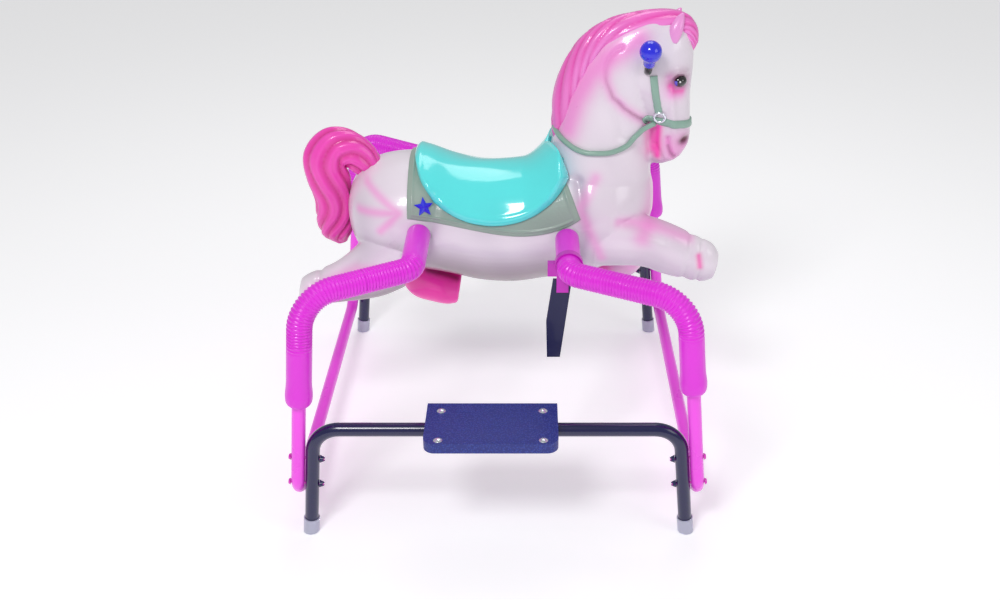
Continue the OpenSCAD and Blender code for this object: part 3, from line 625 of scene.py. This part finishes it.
def locks(name, secs, m, n, shape, light, dark):
    """A lofted mass of hair with ridged locks, with painted shade darkening the grooves."""
    loops = loft_loops(secs, m, n, lambda t, a: shape(t, a)[0])
    bm = bmesh.new()
    rings(bm, loops)
    bmesh.ops.recalc_face_normals(bm, faces=bm.faces)
    ob = piece(name, bm, hair, "horse")
    cols, total = [], len(loops)
    # dark is the painted groove shade, light the colour on the ridges
    lo, hi = np.array(lin(dark)[:3]), np.array(lin(light)[:3])
    for i in range(total):
        for k in range(n):
            f = shape(i / (total - 1), 2 * math.pi * k / n)[1]
            cols.append(np.append(lo + (hi - lo) * f, 1))
    at = ob.data.attributes.new("tint", "FLOAT_COLOR", "POINT")
    at.data.foreach_set("color", np.array(cols).ravel())
    return ob


def mane_shape(t, a):
    side = min(a, 2 * math.pi - a) / math.pi
    ph = 4.2 * side + 9 * t + 0.5 * math.sin(13 * t + 3 * side)
    r = abs(math.sin(math.pi * ph)) ** 0.7
    fine = 0.5 + 0.5 * math.cos(6 * math.pi * ph)
    ease = min(1, t * 12, (1 - t) * 12)
    pale = min(max((side - 0.25) / 0.45, 0), 1) * min(max(t * 3, 0.3), 1)
    # second value is the colour: painted shade darkens the grooves, and the colour pales towards the lower sides
    return (-0.0025 + 0.0042 * r + 0.0008 * fine) * ease, min(1, 0.15 + 0.45 * r + 0.5 * pale)


mane = locks("mane_locks", MANE, 26, 64, mane_shape, (1.0, 0.58, 0.90), (0.93, 0.10, 0.66))
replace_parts(mane, "mane")

# ---- Tail ------------------------------------------------------------------------------------
# A hot pink tail moulded as one S-curve of thick locks, fixed into the rump, with painted shade in the grooves.

TAIL = [(-0.252, 0, 0.632, 170, 0.022, 0.020), (-0.284, 0, 0.652, 150, 0.027, 0.033),
        (-0.312, 0, 0.676, 165, 0.031, 0.037), (-0.345, 0, 0.680, 205, 0.033, 0.044),
        (-0.368, 0, 0.650, 245, 0.034, 0.048), (-0.366, 0, 0.606, 268, 0.034, 0.044),
        (-0.360, 0, 0.562, 272, 0.032, 0.037), (-0.361, 0, 0.520, 268, 0.030, 0.037),
        (-0.358, 0, 0.484, 275, 0.024, 0.030), (-0.348, 0, 0.462, 285, 0.010, 0.012)]


def tail_shape(t, a):
    ph = 3.5 * a / math.pi + 0.9 * math.sin(7.0 * t + 0.4) + 0.25 * math.sin(15 * t)
    r = abs(math.sin(math.pi * ph)) ** 0.6
    fine = 0.5 + 0.5 * math.cos(2 * math.pi * ph * 3)
    ease = min(1, t * 10, (1 - t) * 8)
    # second value is the colour: painted shade darkens the grooves between the locks
    return (-0.005 + 0.0075 * r + 0.0012 * fine) * ease, 0.3 + 0.7 * r * (0.8 + 0.2 * fine)


tail = locks("tail_locks", TAIL, 24, 84, tail_shape, (1.0, 0.30, 0.78), (0.80, 0.03, 0.42))
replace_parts(tail, "tail")

# ---- Ears ------------------------------------------------------------------------------------
# Two small pricked ears, part of the same moulding, with hollow fronts sprayed pink.

ear_mat = plastic("ear_pearl", (0.96, 0.62, 0.88), 0.3, 0.5, bump=0.02, grain=260)
ear_bm = bmesh.new()
for sy in (-1, 1):
    ear = [(0.350, sy * 0.030, 0.916, 80, 0.013, 0.016), (0.357, sy * 0.029, 0.940, 78, 0.012, 0.016),
           (0.364, sy * 0.024, 0.960, 76, 0.008, 0.010), (0.369, sy * 0.020, 0.971, 74, 0.0015, 0.002)]
    rings(ear_bm, loft_loops(ear, 8, 24, lambda t, a: -0.006 * math.exp(-((a - math.pi) / 0.7) ** 2) * (1 - t)))
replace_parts(piece("ear_pair", ear_bm, ear_mat, "horse"), "ears")

# ---- Blanket ---------------------------------------------------------------------------------
# A grey-green saddle cloth in low relief on the shell, with an embossed line along its border.


def torso_at(xx):
    a = np.array(TORSO)
    return [np.interp(xx, a[:, 0], a[:, j]) for j in range(6)]


def coat(name, lower, left, right_edge, inner, outer, material, nx=150, nv=110, bead=0.0, line=0.0, edge=0.010, seat=None):
    """A closed coat over the horse's back, from one lower edge across to the other."""
    bm = bmesh.new()

    def sheet(grow_fn):
        grid = []
        for j in range(-nv, nv + 1):
            row = []
            for i in range(nx + 1):
                v, u = j / nv, i / nx
                x1 = right_edge(abs(v))
                xx = left + (x1 - left) * u
                s = torso_at(xx)
                drop = min(max((lower(xx) - s[2]) / (s[5] + 0.006), -0.99), 0.995)
                amax = math.acos(drop)
                a = amax * v
                d = min((1 - abs(v)) * amax * s[5], xx - left, x1 - xx)
                g = grow_fn(max(d, 0), xx, abs(a))
                base = on_section(s, a, 0.0)
                out = Vector((0, math.sin(a) / max(s[4], 0.01), math.cos(a) / max(s[5], 0.01))).normalized()
                loc, _, _, dist = skin.find_nearest(base)
                row.append((loc if dist < 0.02 else base) + out * g)
            grid.append(row)
        return grid

    def top(d, xx, a):
        e = min(d / edge, 1)
        g = inner + (outer - inner) * math.sqrt(1 - (1 - e) ** 2)
        g += bead * math.exp(-((d - edge * 0.9) / (edge * 0.5)) ** 2)
        g += line * math.exp(-((d - 0.010) / 0.0022) ** 2)
        return g + (seat(xx, a) if seat else 0) * min(d / 0.02, 1)

    up = sheet(top)
    low = sheet(lambda d, xx, a: inner)
    vs = [[bm.verts.new(q) for q in row] for row in up]
    ws = [[bm.verts.new(q) for q in row] for row in low]
    nj, ni = len(vs), len(vs[0])
    for j in range(nj - 1):
        for i in range(ni - 1):
            bm.faces.new((vs[j][i], vs[j][i + 1], vs[j + 1][i + 1], vs[j + 1][i]))
            bm.faces.new((ws[j][i], ws[j + 1][i], ws[j + 1][i + 1], ws[j][i + 1]))
    rim = [(j, 0) for j in range(nj)] + [(nj - 1, i) for i in range(1, ni)]
    rim += [(j, ni - 1) for j in range(nj - 2, -1, -1)] + [(0, i) for i in range(ni - 2, 0, -1)]
    for (a, b), (c, d) in zip(rim, rim[1:] + rim[:1]):
        bm.faces.new((vs[a][b], vs[c][d], ws[c][d], ws[a][b]))
    return piece(name, bm, material, "horse")


CLOTH_CURVE = np.polyfit([-0.19, -0.11, -0.04, 0.02, 0.08, 0.16], [0.572, 0.560, 0.541, 0.531, 0.536, 0.563], 3)


def cloth_edge(xx):
    return float(np.polyval(CLOTH_CURVE, xx))


cloth_mat = plastic("cloth_paint", (0.60, 0.67, 0.63), 0.42, 0.25, bump=0.12, grain=180, vary=0.08)
cloth = coat("saddle_cloth", cloth_edge, -0.188, lambda v: 0.112 + 0.058 * v, 0.0006, 0.0040, cloth_mat,
             line=0.0030, edge=0.004)
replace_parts(cloth, "blanket")

# ---- Saddle ----------------------------------------------------------------------------------
# A glossy aqua seat with round flaps and a rolled rim. It is part of the moulding, masked and
# sprayed.


def flap_edge(xx):
    return 0.730 - math.sqrt(max(0.177 ** 2 - (xx + 0.010) ** 2, 0.0))


def seat_shape(xx, a):
    rise = 0.050 * min(max((xx - 0.05) / 0.066, 0), 1.1) ** 1.6
    return (rise + 0.003 * math.exp(-((xx + 0.150) / 0.04) ** 2)) * math.exp(-(a / 0.8) ** 2)


aqua = plastic("aqua_gloss", (0.36, 0.93, 0.93), 0.12, 0.8, bump=0.01, grain=150, vary=0.04)
seat = coat("saddle_seat", flap_edge, -0.178, lambda v: 0.116 + 0.030 * min(v * 2, 1), 0.0045, 0.0165, aqua, bead=0.0022,
            edge=0.014, seat=seat_shape)
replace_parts(seat, "saddle")

# ---- Stars -----------------------------------------------------------------------------------
# A small blue five-pointed star with bevelled faces near the rear corner of each blanket side.

star_bm = bmesh.new()
for sy in (-1, 1):
    c, n = hug((mid_x - 0.148, sy * 0.14, 0.606), 0.0035)
    up = (Vector((0, 0, 1)) - n * n.z).normalized()
    across = up.cross(n) * -sy
    ring = []
    for i in range(10):
        g, r = math.radians(90 + 36 * i), 0.021 if i % 2 == 0 else 0.0095
        ring.append(c + across * r * math.cos(g) + up * r * math.sin(g))
    back = [star_bm.verts.new(q - n * 0.004) for q in ring]
    rim = [star_bm.verts.new(q + n * 0.0015) for q in ring]
    peak = star_bm.verts.new(c + n * 0.0055)
    for i in range(10):
        k = (i + 1) % 10
        star_bm.faces.new((back[i], back[k], rim[k], rim[i]))
        star_bm.faces.new((rim[i], rim[k], peak))
    star_bm.faces.new(back[::-1])
blue = plastic("blue_gloss", (0.10, 0.12, 0.88), 0.15, 0.8, bump=0.01, grain=200)
star = piece("star_pair", star_bm, blue, "horse")
star.data.shade_flat()
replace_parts(star, "stars")

# ---- Eyes ------------------------------------------------------------------------------------
# Glossy black domes with a painted blue-violet reflection crescent and a painted white highlight dot, set
# in the head under a moulded lid.

eye_mat = plastic("eye_gloss", (0.01, 0.01, 0.02), 0.05, 1.0, bump=0.0, vary=0.0, attribute="tint")
eye_bm = bmesh.new()
eye_c = []
for sy in (-1, 1):
    c = Vector((mid_x + 0.367, sy * 0.0355, 0.8375))
    eye_c.append((c, sy))
    geo = bmesh.ops.create_uvsphere(eye_bm, u_segments=64, v_segments=40, radius=0.0150)
    for v in geo["verts"]:
        v.co = Vector((v.co.x * 1.05, v.co.y, v.co.z * 0.86)) + c
eyes = piece("eye_pair", eye_bm, eye_mat, "horse")
q, _ = arrays(eyes.data)
shade = np.tile(np.array([0.004, 0.004, 0.006]), (len(q), 1))
for c, sy in eye_c:
    dx, dz = q[:, 0] - c.x, q[:, 2] - c.z
    mine = (q[:, 1] * sy > 0)
    # painted reflection: a blue-violet crescent towards the back of each eye
    reflection_crescent = mine & (dx < -0.005) & (dx > -0.0115) & (dz > -0.008) & (dz < 0.003)
    shade[reflection_crescent] = lin((0.36, 0.34, 0.85))[:3]
    # painted highlight: a white dot near the middle of each eye
    dot = mine & ((dx - 0.0005) ** 2 + (dz - 0.0015) ** 2 < 0.0018 ** 2)
    shade[dot] = (1, 1, 1)
at = eyes.data.attributes.new("tint", "FLOAT_COLOR", "POINT")
at.data.foreach_set("color", np.hstack([shade, np.ones((len(q), 1))]).ravel())
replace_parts(eyes, "eyes")

# ---- Bridle ----------------------------------------------------------------------------------
# Raised grey-green straps round the nose and up each cheek, moulded with the head and painted.

strap_mat = plastic("strap_paint", (0.56, 0.70, 0.64), 0.34, 0.35, bump=0.06, grain=240)


def strap(bm, pts, width, closed=False, thick=0.0034):
    """A flat band that follows the skin through pts."""
    loops = []
    m = len(pts)
    for i in range(m):
        a = pts[(i - 1) % m] if closed else pts[max(i - 1, 0)]
        b = pts[(i + 1) % m] if closed else pts[min(i + 1, m - 1)]
        c, n = hug(pts[i], 0)
        d = (b - a).normalized()
        w = d.cross(n).normalized() * width / 2
        loops.append([c - w - n * 0.002, c - w + n * thick * 0.6, c - w * 0.75 + n * thick, c + w * 0.75 + n * thick,
                      c + w + n * thick * 0.6, c + w - n * 0.002])
    rings(bm, loops, closed)


head = resample(HEAD, 24)
nose = min(head, key=lambda s: abs(s[2] - 0.757))
strap_bm = bmesh.new()
band = [on_section(nose, 2 * math.pi * k / 96, 0.004) for k in range(96)]
band = [Vector((q.x, q.y, q.z - 0.26 * (q.x - mid_x - 0.326))) for q in band]
strap(strap_bm, band, 0.0165, closed=True)
for sy in (-1, 1):
    line = [Vector((mid_x + 0.325 - 0.011 * t, sy * 0.08, 0.765 + 0.092 * t)) for t in np.linspace(0, 1, 30)]
    strap(strap_bm, [hug(q, 0.001)[0] for q in line], 0.015)
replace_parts(piece("bridle_straps", strap_bm, strap_mat, "horse"), "bridle")

# ---- Bridle rings ----------------------------------------------------------------------------
# Bright metal rings, one each side, where noseband, cheek strap and rein meet.

ring_bm = bmesh.new()
ring_c = {}
for sy in (-1, 1):
    c, n = hug((mid_x + 0.326, sy * 0.08, 0.757), 0.004)
    ring_c[sy] = c
    t1 = (Vector((0, 0, 1)) - n * n.z).normalized()
    t2 = t1.cross(n)
    loops = []
    for i in range(48):
        g = 2 * math.pi * i / 48
        out = t1 * math.cos(g) + t2 * math.sin(g)
        loops.append([c + out * (0.011 + 0.0028 * math.cos(h)) + n * 0.0028 * math.sin(h)
                      for h in np.linspace(0, 2 * math.pi, 17)[:-1]])
    rings(ring_bm, loops, closed=True)
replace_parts(piece("bridle_ring_pair", ring_bm, zinc, "horse"), "bridle_rings")

# ---- Rein ------------------------------------------------------------------------------------
# A moulded grey-green rein in relief on the neck, from ring to ring over the withers.

half = [(0.316, 0.060, 0.745), (0.292, 0.075, 0.728), (0.262, 0.085, 0.712), (0.232, 0.095, 0.704),
        (0.202, 0.097, 0.703), (0.172, 0.094, 0.704), (0.148, 0.080, 0.710), (0.130, 0.056, 0.719),
        (0.119, 0.030, 0.727), (0.113, 0.0, 0.731)]
ctrl = [(a, -b, c) for a, b, c in half] + [(a, b, c) for a, b, c in half[-2::-1]]
line = resample([c + (0, 0, 0) for c in ctrl], 10)
path = []
for s in line:
    q = Vector((mid_x + s[0], s[1], s[2]))
    c, n = hug(q, 0.0035)
    path.append(c if (c - q).length < 0.03 else q)
for _ in range(6):
    path = [path[0]] + [(a + b * 2 + c) / 4 for a, b, c in zip(path, path[1:], path[2:])] + [path[-1]]
rein_bm = bmesh.new()
rings(rein_bm, swept(path, lambda i: 0.0055, 20))
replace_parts(piece("rein_band", rein_bm, strap_mat, "horse"), "rein")

# ---- Handle ----------------------------------------------------------------------------------
# A black steel rod through the head, bent up and out at both sides, with blue ball grips.

paint("handle_rod", plastic("black_rod", (0.03, 0.03, 0.045), 0.2, 0.6))
lo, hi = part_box("handle_grips")
grip_bm = bmesh.new()
for sy in (-1, 1):
    inner_end = Vector((mid_x + 0.300, sy * 0.080, 0.8845))
    ball = Vector((mid_x + 0.300, sy * 0.100, 0.915))
    d = (ball - inner_end).normalized()
    prof = [(-0.001, 0.0085), (0.000, 0.0115), (0.002, 0.0122), (0.012, 0.0122), (0.018, 0.0130)]
    total = (ball - inner_end).length
    for k in range(26):
        g = math.radians(132 - 132 * k / 25)
        prof.append((total + 0.0222 * math.cos(g), max(0.0222 * math.sin(g), 0.0004)))
    prof = [q for q in prof if q[0] <= total + 0.0223]
    s = d.cross(Vector((1, 0, 0))).normalized()
    t = d.cross(s)
    rings(grip_bm, [[inner_end + d * h + (s * math.cos(2 * math.pi * k / 48) + t * math.sin(2 * math.pi * k / 48)) * r
                     for k in range(48)] for h, r in prof])
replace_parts(piece("ball_grips", grip_bm, blue, "horse"), "handle_grips")

# ---- Floor, light and camera -----------------------------------------------------------------
# A plain pale floor under soft studio light, seen from the photo's angle.

bm = bmesh.new()
bmesh.ops.create_grid(bm, x_segments=1, y_segments=1, size=14)
floor_me = bpy.data.meshes.new("floor")
bm.to_mesh(floor_me)
bm.free()
floor = bpy.data.objects.new("floor", floor_me)
bpy.context.scene.collection.objects.link(floor)
floor_me.materials.append(plastic("floor_paper", (0.97, 0.97, 0.98), 0.9, vary=0.0, bump=0.0))
floor_me.transform(Matrix.Translation((0, 0, -0.0005)))
glow = floor_me.materials[0].node_tree.nodes["Principled BSDF"]
glow.inputs["Emission Color"].default_value = (1, 1, 1, 1)
glow.inputs["Emission Strength"].default_value = 0.30

world = bpy.data.worlds.new("studio")
bpy.context.scene.world = world
world.use_nodes = True
world.node_tree.nodes["Background"].inputs["Color"].default_value = (1, 1, 1, 1)
world.node_tree.nodes["Background"].inputs["Strength"].default_value = 0.42


def softbox(name, at, to, size, power):
    light = bpy.data.lights.new(name, "AREA")
    light.size, light.energy = size, power
    ob = bpy.data.objects.new(name, light)
    ob.location = at
    ob.rotation_euler = (Vector(to) - Vector(at)).to_track_quat("-Z", "Y").to_euler()
    bpy.context.scene.collection.objects.link(ob)


softbox("key", (-0.8, -2.2, 2.9), (0, 0, 0.5), 0.8, 42)
softbox("fill", (2.4, -1.6, 1.8), (0, 0, 0.5), 1.2, 9)
softbox("top", (0.2, 1.2, 3.0), (0, 0, 0.6), 1.4, 14)

cam = bpy.data.cameras.new("camera")
cam.lens = 41.35
cam.sensor_width = 36
cam.shift_x = -0.0297
eye = bpy.data.objects.new("camera", cam)
eye.location = (mid_x + 0.0646, -2.296, 1.540)
eye.rotation_euler = (math.radians(90 - 28.08), 0, 0)
bpy.context.scene.collection.objects.link(eye)
bpy.context.scene.camera = eye
bpy.context.scene.view_settings.view_transform = "Standard"
